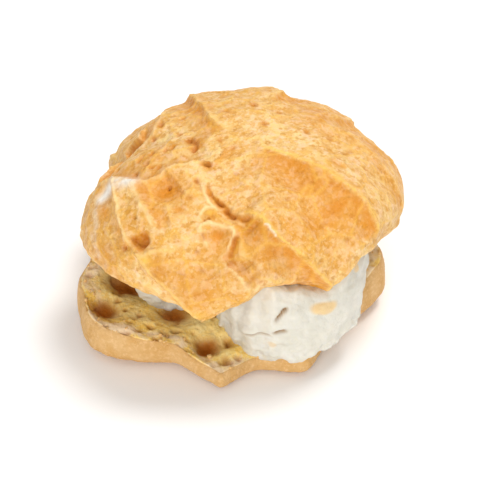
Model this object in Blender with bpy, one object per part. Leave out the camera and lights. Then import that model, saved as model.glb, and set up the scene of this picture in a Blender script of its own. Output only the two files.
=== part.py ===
"""Filled cream puff: a flat choux base, a layer of whipped cream and a domed choux cap.

Units are metres. +Z is up and the puff stands on z = 0. Azimuths are in degrees, with 0 at +X
and -90 at the front, where the cream shows. Each piece starts as a UV sphere, whose vertices are
carried onto a turned profile that changes with the azimuth.
"""

import bmesh
import bpy
import numpy as np
from mathutils import Vector, noise

NAME = "cream_puff"

# Radii and heights that drive the whole puff
BASE_RADIUS = 0.0310      # mean radius of the base, without its lobes
BASE_LIP = 0.95           # share of the radius where the crumb face meets the wall
BASE_FLAT = 0.74          # share of the radius that rests on the table
BASE_FLOOR = 0.0065       # thickness of the base under the cream
BASE_BELLY = 0.40         # height of the widest point, as a share of the rim height
CREAM_FACE = 0.0035       # how far the cream's side bulges
CAP_CENTRE = (0.0020, 0.0015)
CAP_RADIUS = 0.0365       # mean radius of the cap
CAP_EQUATOR = 0.0240      # height of the cap's widest point, before the rim tilts it
CAP_DOME = 0.0202         # height of the dome above the equator
CAP_LEAN = (0.0040, 0.0010)   # how far the top leans away from the cap's centre
CAP_TUCK = 0.0050         # how far the skirt reaches below the equator
CAP_INSET = 0.0030        # how far the skirt turns in
CAP_EDGE = 0.0018         # radius of the skirt's rounded edge
CAP_CEILING = 0.0290      # height of the hollow under the cap
CAP_ARC = 0.0470          # length of the dome's skin from the top to the equator
GAP = 0.0009              # gap between two pieces

# Shares of a sphere's half turn, from pole to pole, that each stretch of a profile takes
BASE_FACE_END = 0.42
BASE_WALL_END = 0.76
CREAM_TOP_END = 0.36
CREAM_SIDE_END = 0.70
CAP_DOME_END = 0.56
CAP_SKIRT_END = 0.66
CAP_EDGE_END = 0.76

# Lobes: azimuth, height, width in degrees, and the power that makes the lobe round or pointed
BASE_LOBES = [
    (-169, 0.0024, 8, 2.0), (-147, 0.0072, 20, 2.0), (-117, -0.0018, 10, 2.0),
    (-94, 0.0034, 6, 1.2), (-78, -0.0024, 9, 2.0), (-60, 0.0024, 8, 1.5), (-36, -0.0026, 13, 2.0),
    (-2, 0.0040, 14, 2.0), (32, 0.0028, 12, 1.5), (68, 0.0035, 12, 1.5), (104, 0.0035, 12, 1.5),
    (140, 0.0030, 12, 1.5), (176, 0.0015, 12, 1.5),
]
CAP_LOBES = [
    (-158, 0.0006, 14, 2.0), (165, -0.0068, 15, 2.0), (125, -0.0008, 15, 2.0),
    (-72, -0.0025, 18, 2.0), (-25, -0.0010, 14, 2.0), (8, 0.0008, 16, 2.0),
]

# Heights of the two rims, and the radius of the cream, by azimuth
BASE_RIM = [
    (-165, 0.0100), (-140, 0.0095), (-120, 0.0075), (-100, 0.0048), (-75, 0.0045), (-55, 0.0058),
    (-38, 0.0070), (-22, 0.0100), (-8, 0.0125), (10, 0.0125), (60, 0.0120), (120, 0.0118),
    (170, 0.0110),
]
CAP_RIM = [
    (-175, 0.0175), (-150, 0.0190), (-125, 0.0200), (-103, 0.0185), (-92, 0.0210), (-80, 0.0250),
    (-68, 0.0240), (-56, 0.0222), (-44, 0.0258), (-30, 0.0245), (-12, 0.0212), (30, 0.0180),
    (90, 0.0160), (140, 0.0160),
]
CREAM_RADIUS = [
    (-180, 0.0225), (-160, 0.0225), (-147, 0.0274), (-138, 0.0210), (-118, 0.0180), (-108, 0.0195),
    (-100, 0.0228), (-92, 0.0268), (-84, 0.0308), (-76, 0.0334), (-68, 0.0349), (-60, 0.0357),
    (-50, 0.0354), (-40, 0.0343), (-31, 0.0322), (-24, 0.0302), (-15, 0.0296), (-5, 0.0285),
    (30, 0.0270), (90, 0.0270), (135, 0.0250),
]

# Plates of cracked crust on the cap. Each edge is a line in flat skin coordinates: the distance
# along the skin from the top, laid out by azimuth. The plate to the left of the line stands up by
# the first height, the skin to its right sinks by the second, and both fade over the width.
CAP_PLATES = [
    (0.0012, 0.0012, 0.0060, [(0.002, -0.005), (0.010, -0.009), (0.021, -0.015), (0.034, -0.024)]),
    (0.0013, 0.0018, 0.0055, [(-0.001, -0.020), (0.011, -0.033), (0.020, -0.039), (0.028, -0.042)]),
    (0.0009, 0.0018, 0.0060, [(-0.024, -0.026), (-0.020, -0.034), (-0.012, -0.050)]),
    (0.0009, 0.0009, 0.0040, [(-0.021, -0.009), (-0.019, -0.016), (-0.016, -0.024)]),
    (0.0010, 0.0012, 0.0050, [(-0.028, -0.005), (-0.027, -0.016), (-0.026, -0.028)]),
    (0.0008, 0.0016, 0.0050, [(-0.002, -0.006), (-0.014, -0.008), (-0.026, -0.004)]),
    (0.0010, 0.0012, 0.0060, [(-0.004, 0.002), (-0.011, 0.014), (-0.020, 0.030), (-0.026, 0.042)]),
    (0.0012, 0.0014, 0.0060, [(0.008, 0.010), (0.004, 0.024), (-0.004, 0.044)]),
    (0.0011, 0.0013, 0.0060, [(0.012, 0.004), (0.022, 0.020), (0.028, 0.040)]),
    (0.0010, 0.0012, 0.0060, [(0.016, -0.002), (0.032, 0.006), (0.048, 0.012)]),
]
PLATE_SOFTNESS = 0.0010   # half width of the step at a plate's edge
PLATE_TAPER = 0.0080      # length over which an edge rises at its ends
SWELL_SIZE = 0.0140       # size and height of the skin's gentle lumps
SWELL_HEIGHT = 0.0009

# Holes broken into the crumb face of the base: place, radius and depth
CRUMB_HOLES = [
    (-0.0058, -0.0240, 0.0030, 0.0024), (-0.0285, -0.0155, 0.0032, 0.0028),
    (-0.0238, -0.0050, 0.0042, 0.0030), (-0.0131, -0.0145, 0.0036, 0.0022), (0.0240, 0.0090, 0.0030, 0.0020),
]

# Resolution: segments around and rings from pole to pole
CAP_GRID = (72, 40)
BASE_GRID = (72, 22)
CREAM_GRID = (40, 16)

# Colours, with roughness: golden crust, toasted crumb wall and white cream
CRUST = ((0.80, 0.45, 0.13, 1.0), 0.55)
CRUMB = ((0.66, 0.40, 0.15, 1.0), 0.75)
CREAM = ((0.86, 0.84, 0.74, 1.0), 0.35)


def wrap(angle):
    return (angle + 180.0) % 360.0 - 180.0


def ease(x):
    """Smooth step from 0 to 1."""
    x = np.clip(x, 0.0, 1.0)
    return x * x * (3.0 - 2.0 * x)


def mix(a, b, share):
    return a + (b - a) * share


def stretch(share, start, end):
    """How far a share has come along one stretch of a profile, from 0 to 1."""
    return np.clip((share - start) / (end - start), 0.0, 1.0)


def lobed(azimuth, mean, lobes):
    """A radius with bulges and dents at named azimuths."""
    radius = np.full_like(azimuth, mean)
    for centre, height, width, power in lobes:
        radius += height * np.exp(-np.abs(wrap(azimuth - centre) / width) ** power)
    return radius


def around(azimuth, knots):
    """A smooth value around the puff, through (azimuth, value) knots."""
    knots = sorted(knots)
    knots = [(knots[-1][0] - 360, knots[-1][1])] + knots + [(knots[0][0] + 360, knots[0][1])]
    angles = np.array([knot[0] for knot in knots], dtype=float)
    values = np.array([knot[1] for knot in knots], dtype=float)
    azimuth = wrap(azimuth)
    left = np.clip(np.searchsorted(angles, azimuth) - 1, 0, len(angles) - 2)
    share = ease((azimuth - angles[left]) / (angles[left + 1] - angles[left]))
    return mix(values[left], values[left + 1], share)


def on_disc(azimuth, radius, centre=(0.0, 0.0)):
    """X and Y of a point at an azimuth and a radius around a centre."""
    angle = np.radians(azimuth)
    return centre[0] + radius * np.cos(angle), centre[1] + radius * np.sin(angle)


def from_centre(x, y, centre=(0.0, 0.0)):
    """Azimuth and radius of a point around a centre."""
    return np.degrees(np.arctan2(y - centre[1], x - centre[0])), np.hypot(x - centre[0], y - centre[1])


def bulge(share, inner, outer, fullness):
    """Radius along a bulging side, and a rise that runs from 1 at its top to -1 at its bottom."""
    angle = np.radians(mix(90.0, -90.0, share))
    return mix(inner, outer, np.abs(np.cos(angle)) ** fullness), np.sin(angle)


# Base: a shallow bowl of crumb with a wavy outline

def base_radius(azimuth):
    return lobed(azimuth, BASE_RADIUS, BASE_LOBES)


def base_top(x, y):
    """Height of the crumb face, which dips from the rim to the floor under the cream."""
    azimuth, radius = from_centre(x, y)
    share = radius / base_radius(azimuth)
    height = mix(BASE_FLOOR, around(azimuth, BASE_RIM), ease((share - 0.45) / 0.5))
    for hole_x, hole_y, hole_radius, depth in CRUMB_HOLES:
        height -= depth * np.exp(-(np.hypot(x - hole_x, y - hole_y) / hole_radius) ** 2)
    return height


def base_shape(azimuth, share):
    """A point of the base, whose share runs from 0 at the top's centre to 1 at the bottom's."""
    radius = base_radius(azimuth)
    rim = around(azimuth, BASE_RIM)
    belly = BASE_BELLY * rim
    wall = stretch(share, BASE_FACE_END, BASE_WALL_END)
    inner = np.where(wall < 0.5, BASE_LIP, BASE_FLAT) * radius
    reach, rise = bulge(wall, inner, radius, 0.75)
    z = np.where(rise > 0.0, mix(belly, rim, rise), belly * (1.0 + rise))
    on_face = share < BASE_FACE_END
    on_flat = share > BASE_WALL_END
    reach = np.where(on_face, share / BASE_FACE_END * BASE_LIP * radius, reach)
    reach = np.where(on_flat, (1.0 - share) / (1.0 - BASE_WALL_END) * BASE_FLAT * radius, reach)
    x, y = on_disc(azimuth, reach)
    z = np.where(on_face, base_top(x, y), np.where(on_flat, 0.0, z))
    return x, y, z


# Cap: a leaning dome with a skirt that turns in, a rounded edge and a hollow underneath

def cap_rim_radius(azimuth):
    """Radius where the skirt meets its rounded edge."""
    return lobed(azimuth, CAP_RADIUS, CAP_LOBES) - CAP_INSET


def cap_skin(azimuth, dome, skirt):
    """Radius and height on the outside: dome and skirt each run from 0 to 1 on the way down."""
    angle = np.radians(90.0 * dome)
    radius = lobed(azimuth, CAP_RADIUS, CAP_LOBES) * np.sin(angle) ** 0.92
    rim = around(azimuth, CAP_RIM)
    equator = mix(CAP_EQUATOR, rim + CAP_TUCK, ease(dome))
    height = equator + CAP_DOME * np.abs(np.cos(angle)) ** 0.95
    return radius - CAP_INSET * skirt ** 2, height - (CAP_TUCK - CAP_EDGE) * skirt


def line_distance(u, v, points):
    """Signed distance to a line, positive on its left, and distance to the line's nearer end."""
    best = np.full_like(u, np.inf)
    side = np.zeros_like(u)
    along = np.zeros_like(u)
    length = 0.0
    for start, end in zip(points[:-1], points[1:]):
        step_u, step_v = end[0] - start[0], end[1] - start[1]
        run = np.hypot(step_u, step_v)
        share = np.clip(((u - start[0]) * step_u + (v - start[1]) * step_v) / run ** 2, 0.0, 1.0)
        off_u, off_v = u - start[0] - share * step_u, v - start[1] - share * step_v
        distance = np.hypot(off_u, off_v)
        nearer = distance < best
        best = np.where(nearer, distance, best)
        side = np.where(nearer, np.sign(step_u * off_v - step_v * off_u), side)
        along = np.where(nearer, length + share * run, along)
        length += run
    return best * side, np.minimum(along, length - along)


def plates(azimuth, arc):
    """Height of the cracked plates of crust above the smooth skin."""
    u, v = on_disc(azimuth, arc)
    height = np.zeros_like(u)
    for high, low, width, points in CAP_PLATES:
        distance, end = line_distance(u, v, points)
        step = 1.0 / (1.0 + np.exp(-distance / PLATE_SOFTNESS))
        fade = np.exp(-np.abs(distance) / width) * ease(end / PLATE_TAPER)
        height += fade * mix(-low, high, step)
    return height


def swells(x, y, z):
    """Gentle lumps in the skin."""
    points = np.stack([x, y, z], axis=1) / SWELL_SIZE
    return SWELL_HEIGHT * np.array([noise.noise(Vector(point)) for point in points])


def cap_shape(azimuth, share):
    """A point of the cap, whose share runs from 0 at the top to 1 in the middle of the hollow."""
    dome = stretch(share, 0.0, CAP_DOME_END)
    skirt = stretch(share, CAP_DOME_END, CAP_SKIRT_END)
    edge = np.radians(180.0 * stretch(share, CAP_SKIRT_END, CAP_EDGE_END))
    hollow = stretch(share, CAP_EDGE_END, 1.0)
    reach, z = cap_skin(azimuth, dome, skirt)
    reach = reach - CAP_EDGE * (1.0 - np.cos(edge))
    z = z - CAP_EDGE * np.sin(edge)
    depth = 1.0 - (1.0 - hollow) ** 2
    reach = reach * (1.0 - hollow)
    z = mix(z, CAP_CEILING, depth)
    x, y = on_disc(azimuth, reach, CAP_CENTRE)
    lean = 1.0 - np.sin(np.radians(90.0 * dome))
    relief = plates(azimuth, CAP_ARC * dome + CAP_TUCK * skirt) + swells(x, y, z)
    relief = relief * ease(1.0 - stretch(share, CAP_SKIRT_END, CAP_EDGE_END))
    out = np.stack([(x - CAP_CENTRE[0]) / CAP_RADIUS ** 2, (y - CAP_CENTRE[1]) / CAP_RADIUS ** 2,
                    (z - CAP_EQUATOR) / CAP_DOME ** 2])
    out = out / np.linalg.norm(out, axis=0)
    return (x + CAP_LEAN[0] * lean + relief * out[0], y + CAP_LEAN[1] * lean + relief * out[1],
            z + relief * out[2])


# Cream: fills the space between the base and the cap, and bulges out at the front

def cream_ceiling(azimuth, radius):
    """Height of the cream under the cap's edge and inside its hollow."""
    share = radius / (cap_rim_radius(azimuth) - 2.0 * CAP_EDGE)
    inside = np.clip(1.0 - (share / 0.92) ** 2, 0.0, 1.0)
    return mix(around(azimuth, CAP_RIM), CAP_CEILING, inside) - GAP


def cream_shape(azimuth, share):
    """A point of the cream, whose share runs from 0 at the top's centre to 1 at the bottom's."""
    outer = around(azimuth, CREAM_RADIUS)
    side = stretch(share, CREAM_TOP_END, CREAM_SIDE_END)
    reach, rise = bulge(side, outer - CREAM_FACE, outer, 0.7)
    to_side = np.minimum(share / CREAM_TOP_END, (1.0 - share) / (1.0 - CREAM_SIDE_END))
    reach = np.where(to_side < 1.0, to_side * (outer - CREAM_FACE), reach)
    x, y = on_disc(azimuth, reach, CAP_CENTRE)
    z = mix(base_top(x, y) + GAP, cream_ceiling(azimuth, reach), 0.5 + 0.5 * rise)
    return x, y, z


def clear_scene():
    for old in list(bpy.data.objects):
        bpy.data.objects.remove(old, do_unlink=True)


def material(name, colour, roughness):
    look = bpy.data.materials.new(name)
    look.use_nodes = True
    shader = look.node_tree.nodes["Principled BSDF"]
    shader.inputs["Base Color"].default_value = colour
    shader.inputs["Roughness"].default_value = roughness
    shader.inputs["Metallic"].default_value = 0.0
    look.diffuse_color = colour
    return look


def turned_piece(name, grid, shape, look, collection):
    """A UV sphere whose vertices are carried onto a shape by azimuth and share of the half turn."""
    form = bmesh.new()
    bmesh.ops.create_uvsphere(form, u_segments=grid[0], v_segments=grid[1], radius=1.0)
    ball = np.array([vertex.co for vertex in form.verts])
    azimuth = np.degrees(np.arctan2(ball[:, 1], ball[:, 0]))
    share = np.arccos(np.clip(ball[:, 2], -1.0, 1.0)) / np.pi
    for vertex, place in zip(form.verts, np.stack(shape(azimuth, share), axis=1)):
        vertex.co = place
    mesh = bpy.data.meshes.new(name)
    form.to_mesh(mesh)
    form.free()
    mesh.shade_smooth()
    mesh.materials.append(material(name + "_look", *look))
    piece = bpy.data.objects.new(name, mesh)
    collection.objects.link(piece)
    return piece


def stand_on_origin(pieces):
    """Move the pieces together, so that the origin is under the middle of their common box."""
    corners = np.array([vertex.co for piece in pieces for vertex in piece.data.vertices])
    middle = (corners.min(axis=0) + corners.max(axis=0)) / 2.0
    for piece in pieces:
        piece.location = (-middle[0], -middle[1], -corners[:, 2].min())


def main():
    clear_scene()
    collection = bpy.data.collections.new(NAME)
    bpy.context.scene.collection.children.link(collection)
    stand_on_origin([
        turned_piece("choux_base", BASE_GRID, base_shape, CRUMB, collection),
        turned_piece("cream_filling", CREAM_GRID, cream_shape, CREAM, collection),
        turned_piece("choux_cap", CAP_GRID, cap_shape, CRUST, collection),
    ])


main()
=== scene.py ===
"""Looks of the filled cream puff: cracked golden cap, whipped cream and an open crumb base.

Each CAD solid is replaced by a fine mesh on the same profile, in metres. The profile functions and
their driving sizes are the same as the CAD part's. Azimuths are in degrees, with -90 at the front.
"""

import bmesh
import bpy
import numpy as np
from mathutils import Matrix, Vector, noise


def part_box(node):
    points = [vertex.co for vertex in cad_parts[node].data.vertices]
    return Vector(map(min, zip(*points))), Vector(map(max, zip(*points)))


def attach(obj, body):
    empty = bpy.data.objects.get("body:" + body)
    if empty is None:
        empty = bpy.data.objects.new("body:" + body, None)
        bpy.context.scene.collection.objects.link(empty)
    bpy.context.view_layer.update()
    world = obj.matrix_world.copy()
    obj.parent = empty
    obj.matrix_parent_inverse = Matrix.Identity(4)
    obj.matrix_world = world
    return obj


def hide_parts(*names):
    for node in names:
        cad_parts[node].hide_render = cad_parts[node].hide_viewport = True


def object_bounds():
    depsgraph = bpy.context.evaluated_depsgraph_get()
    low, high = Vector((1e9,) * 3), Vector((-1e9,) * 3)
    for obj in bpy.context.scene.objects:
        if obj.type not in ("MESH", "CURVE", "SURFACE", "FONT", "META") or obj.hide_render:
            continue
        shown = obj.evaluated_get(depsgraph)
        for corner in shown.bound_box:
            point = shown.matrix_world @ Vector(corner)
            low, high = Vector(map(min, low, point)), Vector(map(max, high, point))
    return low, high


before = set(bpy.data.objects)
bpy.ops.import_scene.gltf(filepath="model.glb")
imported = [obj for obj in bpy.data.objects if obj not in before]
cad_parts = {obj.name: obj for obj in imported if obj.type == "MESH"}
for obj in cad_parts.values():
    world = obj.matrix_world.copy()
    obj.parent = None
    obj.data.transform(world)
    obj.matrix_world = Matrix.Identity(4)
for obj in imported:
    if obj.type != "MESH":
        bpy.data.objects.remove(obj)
cad_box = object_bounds()

# ---------------------------------------------------------------- sizes shared with the CAD part
BASE_RADIUS = 0.0310
BASE_LIP = 0.95
BASE_FLAT = 0.74
BASE_FLOOR = 0.0065
BASE_BELLY = 0.40
CREAM_FACE = 0.0035
CAP_CENTRE = (0.0020, 0.0015)
CAP_RADIUS = 0.0365
CAP_EQUATOR = 0.0240
CAP_DOME = 0.0202
CAP_LEAN = (0.0040, 0.0010)
CAP_TUCK = 0.0050
CAP_INSET = 0.0030
CAP_EDGE = 0.0018
CAP_CEILING = 0.0290
CAP_ARC = 0.0470
BASE_LOBES = [
    (-169, 0.0024, 8, 2.0), (-147, 0.0072, 20, 2.0), (-117, -0.0018, 10, 2.0),
    (-94, 0.0034, 6, 1.2), (-78, -0.0024, 9, 2.0), (-60, 0.0024, 8, 1.5), (-36, -0.0026, 13, 2.0),
    (-2, 0.0040, 14, 2.0), (32, 0.0028, 12, 1.5), (68, 0.0035, 12, 1.5), (104, 0.0035, 12, 1.5),
    (140, 0.0030, 12, 1.5), (176, 0.0015, 12, 1.5),
]
CAP_LOBES = [
    (-158, 0.0006, 14, 2.0), (165, -0.0068, 15, 2.0), (125, -0.0008, 15, 2.0),
    (-72, -0.0025, 18, 2.0), (-25, -0.0010, 14, 2.0), (8, 0.0008, 16, 2.0),
]
BASE_RIM = [
    (-165, 0.0100), (-140, 0.0095), (-120, 0.0075), (-100, 0.0048), (-75, 0.0045), (-55, 0.0058),
    (-38, 0.0070), (-22, 0.0100), (-8, 0.0125), (10, 0.0125), (60, 0.0120), (120, 0.0118),
    (170, 0.0110),
]
CAP_RIM = [
    (-175, 0.0175), (-150, 0.0190), (-125, 0.0200), (-103, 0.0185), (-92, 0.0210), (-80, 0.0250),
    (-68, 0.0240), (-56, 0.0222), (-44, 0.0258), (-30, 0.0245), (-12, 0.0212), (30, 0.0180),
    (90, 0.0160), (140, 0.0160),
]
CREAM_RADIUS = [
    (-180, 0.0225), (-160, 0.0225), (-147, 0.0274), (-138, 0.0210), (-118, 0.0180), (-108, 0.0195),
    (-100, 0.0228), (-92, 0.0268), (-84, 0.0308), (-76, 0.0334), (-68, 0.0349), (-60, 0.0357),
    (-50, 0.0354), (-40, 0.0343), (-31, 0.0322), (-24, 0.0302), (-15, 0.0296), (-5, 0.0285),
    (30, 0.0270), (90, 0.0270), (135, 0.0250),
]
CRUMB_HOLES = [
    (-0.0058, -0.0240, 0.0030, 0.0024), (-0.0285, -0.0155, 0.0032, 0.0028),
    (-0.0238, -0.0050, 0.0042, 0.0030), (-0.0131, -0.0145, 0.0036, 0.0022), (0.0240, 0.0090, 0.0030, 0.0020),
]
# Smaller pits in the crumb face: place, radius and depth
CRUMB_PITS = [
    (-0.0121, -0.0213, 0.0013, 0.0012), (-0.0180, -0.0211, 0.0010, 0.0010), (-0.0222, -0.0205, 0.0007, 0.0007),
    (-0.0205, -0.0228, 0.0008, 0.0007), (-0.0165, -0.0250, 0.0009, 0.0008), (-0.0148, -0.0262, 0.0007, 0.0007),
    (-0.0118, -0.0262, 0.0009, 0.0008), (-0.0010, -0.0232, 0.0020, 0.0016), (-0.0145, -0.0225, 0.0008, 0.0007),
    (-0.0255, -0.0120, 0.0009, 0.0008), (-0.0240, -0.0150, 0.0008, 0.0007), (-0.0205, -0.0170, 0.0010, 0.0008),
]

# ---------------------------------------------------------------- sizes of the fine surface
GRID_CUTS = 127           # cuts along each edge of the cube that becomes a ball
OVERLAP = 0.0004          # how far the cream reaches into the crust that holds it
BASE_FACE_END = 0.46
BASE_WALL_END = 0.80
CREAM_TOP_END = 0.22
CREAM_SIDE_END = 0.80
CAP_DOME_END = 0.70
CAP_SKIRT_END = 0.77
CAP_EDGE_END = 0.84

# The cap's relief is drawn on its flattened skin, in millimetres: the distance along the skin from
# the top, laid out by azimuth.
MM = 0.001

# Edges of crust: rise on the left of the line and the width over which it fades are the first and
# third number. To the right the crust sinks by the second over the fourth, and comes back over the
# fifth. Then come the overhang, how toasted the low side is, with painted shade in it, how golden
# the painted highlight on the crest is, and the line.
EDGES = [
    # long ridge at the right, and a short one behind it
    (1.7, 1.5, 6, 2.4, 7.5, 0.0, 1.0, 0.9, [(-0.5, -3.4), (2, -5), (5.5, -6.4), (10, -9), (15.2, -12.6),
                                             (21, -16), (26, -18.4), (30.5, -21.8), (36, -27)]),
    (0.5, 0.4, 3.0, 0.5, 2.0, 0.0, 0.6, 0.5, [(13, -5.2), (15, -6.4), (17.2, -8), (20.5, -10)]),
    # ridge at the front
    (2.2, 1.6, 8.0, 2.2, 8.0, 0.0, 1.0, 0.9, [(-1.6, -20.3), (1.5, -24.3), (3.8, -27.5), (6, -30.2),
                                              (9, -32.8), (12.2, -35), (15.8, -37.4), (19.5, -39.4),
                                              (25, -41.5), (33, -45)]),
    # front plate with its hooked corner
    (2.0, 1.5, 7.0, 1.8, 6.0, 0.1, 0.0, 0.6, [(-13.5, -28.6), (-18, -29.1), (-19.8, -28.6), (-21.4, -29.4),
                                              (-23.5, -28.6), (-22.8, -31), (-21.8, -33.7), (-20.2, -36.5),
                                              (-18.1, -39.3), (-16, -42), (-13.8, -45.4), (-12, -53)]),
    # right side of the front plate
    (0.4, 0.5, 3.0, 0.4, 2.0, 0.2, 0.4, 0.0, [(4, -51), (3, -46.3), (1.2, -43.3), (0, -40), (-1.8, -37.2),
                                              (-3.8, -34.4), (-4.1, -31.5), (-3.4, -29)]),
    # low plate between the front plate and the front ridge
    (0.4, 0.4, 3.0, 0.4, 1.8, 0.2, 0.4, 0.0, [(-0.6, -26), (-0.8, -32), (1.8, -35), (4.2, -38.8),
                                              (6.8, -44.2), (9, -50)]),
    # centre plate above the crack
    (0.4, 0.4, 4.0, 0.5, 2.5, 0.2, 0.4, 0.0, [(-7.4, -12.5), (-6.6, -14.6), (-5.8, -16), (-4.6, -17),
                                              (-3.5, -18.8), (-2.6, -20.8), (-1, -22.4), (1, -23.8)]),
    # folds of the left lobe
    (1.5, 0.9, 4.5, 1.8, 4.5, 0.0, 0.4, 0.1, [(-26.2, -4), (-25.8, -8.8), (-25.5, -12.8), (-25.7, -17.2),
                                              (-25.5, -21), (-25.2, -27)]),
    (1.3, 0.8, 4.0, 1.6, 4.5, 0.0, 0.8, 0.1, [(-17.2, -25), (-17.8, -22), (-18.4, -19.8), (-19.5, -16.5),
                                              (-20.2, -13.2), (-20.9, -10.8), (-22, -7.5)]),
    # orange hollow right of the lobe
    (0.4, 1.4, 3.0, 1.5, 5.5, 0.0, 1.0, 0.1, [(-22, -12), (-20.3, -11.4), (-18.5, -11), (-16.8, -10),
                                              (-14.9, -8.4), (-12.8, -12), (-11.2, -14.8), (-11, -18)]),
    # crest behind the lobe, above the recess
    (0.7, 1.3, 3.5, 1.2, 4.0, 0.2, 0.8, 0.1, [(-7, -6.8), (-10.5, -7.3), (-12.5, -7.4), (-14.3, -8),
                                              (-16.5, -9.5), (-18.8, -10.3), (-21, -9.6), (-24, -7), (-28, -5),
                                              (-34, -3.5)]),
    # band of crust across the recess, and the plate at its outer side
    (0.8, 0.8, 2.0, 1.0, 3.0, 0.0, 0.7, 0.0, [(-13, 21), (-16, 15), (-18, 12), (-21, 9.8), (-25, 8.2),
                                              (-28, 7), (-31, 4)]),
    (1.0, 1.4, 3.0, 0.5, 2.4, 0.2, 1.0, 0.3, [(-35, -2), (-33, 2), (-32, 8), (-31.2, 12.8), (-28, 12.6),
                                              (-25, 12.2), (-21, 15)]),
    # flap beside the centre, and the groove above it
    (0.8, 0.5, 3.5, 0.4, 1.6, 0.4, 0.6, 0.0, [(-9.8, -6.4), (-8.2, -7), (-6.5, -7.9), (-5.9, -6.2),
                                              (-5.4, -4.5), (-6.2, -1)]),
    (1.1, 1.2, 5.0, 1.2, 3.2, 0.1, 1.0, 0.6, [(-11.5, 30), (-10.8, 21), (-9.9, 15.5), (-8.8, 10), (-7.6, 5.4),
                                              (-6.6, 2.4), (-5, 0.2)]),
    # step at the left end of the top
    (0.5, 2.4, 4.0, 0.8, 7.0, 0.0, 0.6, 0.4, [(-15.5, 46), (-15.5, 36), (-16.2, 28), (-16.8, 23), (-18, 18)]),
    # rear of the cap
    (0.6, 0.4, 8.0, 1.5, 4.5, 0.0, 0.5, 0.3, [(9, 3), (17, 4.6), (26, -0.6), (34, -4), (46, -9)]),
    (1.3, 1.3, 6.0, 1.4, 5.0, 0.1, 0.8, 0.5, [(3, 12), (7, 18), (6, 26), (1, 34), (-3, 46)]),
    (0.6, 1.2, 5.0, 1.6, 5.0, 0.1, 0.7, 0.5, [(14, 8), (22, 15), (27, 24), (29, 36)]),
    (1.2, 1.2, 5.0, 1.4, 5.0, 0.1, 0.7, 0.5, [(-20, 26), (-24, 31), (-28, 36), (-34, 42)]),
    (0.4, 1.0, 5.0, 1.6, 5.0, 0.1, 0.6, 0.5, [(26, 6), (34, 9), (42, 9), (52, 14)]),
    (1.0, 1.0, 5.0, 1.2, 4.0, 0.1, 0.6, 0.5, [(-33, 18), (-39, 24), (-42, 34)]),
]
# Cracks: depth, half width, how much of it is broken off, and the line
CRACKS = [
    (0.4, 0.50, 0.9, [(-7.9, -12.6), (-7, -15), (-6.2, -16.2), (-5, -17.2), (-4, -18.9), (-3, -20.8),
                      (-1.5, -22.6), (0.8, -24.2)]),
    (0.4, 0.55, 0.2, [(-1.7, -26.5), (-2, -30), (-2.7, -33)]),
    (0.8, 0.45, 0.0, [(-12.9, 1.6), (-11.6, 0.3), (-10.1, -0.8), (-9.4, -2.2), (-9.9, -4)]),
    (0.5, 0.40, 0.3, [(-9.0, -7.4), (-6.3, -8.6)]),
    (1.0, 0.50, 0.0, [(-24.0, 11.0), (-27, 11.6), (-30, 12.2)]),
    (0.8, 0.45, 0.0, [(-31.4, 11.5), (-31.6, 7), (-31, 2)]),
    (0.5, 0.40, 0.2, [(-8.8, -24.2), (-8.0, -26.6)]),
]
# Raised rims of flakes: height, half width and line
RIMS = [
    (0.5, 0.38, [(-7.3, -28.4), (-8.2, -26), (-9.2, -24), (-8.6, -22.8), (-7.2, -22.1), (-5.2, -22.7), (-3, -24.4),
                 (-2.2, -26.6), (-2.8, -28.6), (-3.3, -30.4)]),
    (0.4, 0.38, [(-8.4, -11.9), (-8, -14.6), (-7.2, -17), (-5.4, -18.8)]),
    (0.4, 0.40, [(-8.8, -20.8), (-8.9, -19.4), (-7.8, -18.2), (-6.0, -18.4), (-5.1, -19.8)]),
    (0.3, 0.40, [(-4.4, -32.8), (-3.8, -34.8), (-1.8, -37.4), (0, -40.2), (1.2, -43.5), (3.4, -46.0)]),
]
# Holes in the crust: place, radius and depth
PITS = [
    (-21.9, -25.9, 1.8, 1.7), (-20.8, -24.6, 1.1, 1.1), (-23.2, -24.8, 1.0, 0.9), (-27.2, -25.8, 0.8, 0.8),
    (-14.8, -12.3, 0.45, 1.2), (-9.5, -12.0, 0.7, 0.7), (-10.8, -16.1, 0.7, 0.5),
    (-7.9, -21.6, 0.5, 0.6), (-7.0, -21.4, 0.5, 0.6), (-6.2, -21.0, 0.4, 0.5),
    (-7.0, -15.3, 0.6, 0.4), (-4.7, -17.3, 0.7, 0.5), (-3.4, -19.5, 0.8, 0.5), (-2.4, -21.6, 0.9, 0.4),
    (-0.4, -23.2, 0.8, 0.4), (1.4, -26.6, 0.9, 0.4), (5.6, -45.4, 0.8, 0.5),
    (-18.0, 10.0, 1.0, 0.8), (-14.2, -1.2, 0.7, 0.6), (-15.6, -1.6, 0.6, 0.5), (-18.6, -1.8, 0.8, 0.7),
    (-20.9, -2.2, 0.8, 0.7), (-16.3, -5.8, 0.8, 0.6), (-21.0, -6.6, 1.0, 0.6), (-18.9, -4.4, 0.7, 0.6),
    (-17.6, -5.6, 0.6, 0.5), (-22.0, 7.4, 0.8, 0.6), (-15.4, 4.2, 0.8, 0.5), (-24.4, 2.4, 0.8, 0.6),
    (-27.4, -1.6, 0.9, 0.6), (-12.2, 9.4, 0.6, 0.5), (-26.5, 4.6, 0.6, 0.5), (0.5, 9.0, 0.7, 0.5),
    (4.5, 6.2, 0.5, 0.4), (1.2, 2.2, 0.6, 0.5), (-3.8, -3.5, 0.5, 0.4), (-5.8, -1.5, 0.5, 0.4),
    (28.0, -43.0, 0.5, 0.9), (20.5, -46.6, 1.3, 0.4), (13.8, 0.2, 0.9, 0.4), (-4.6, 6.6, 0.8, 0.4),
    (5, -13.5, 0.6, 0.4), (17, -6.6, 0.6, 0.4), (8.4, 0.6, 0.6, 0.4),
]
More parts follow.
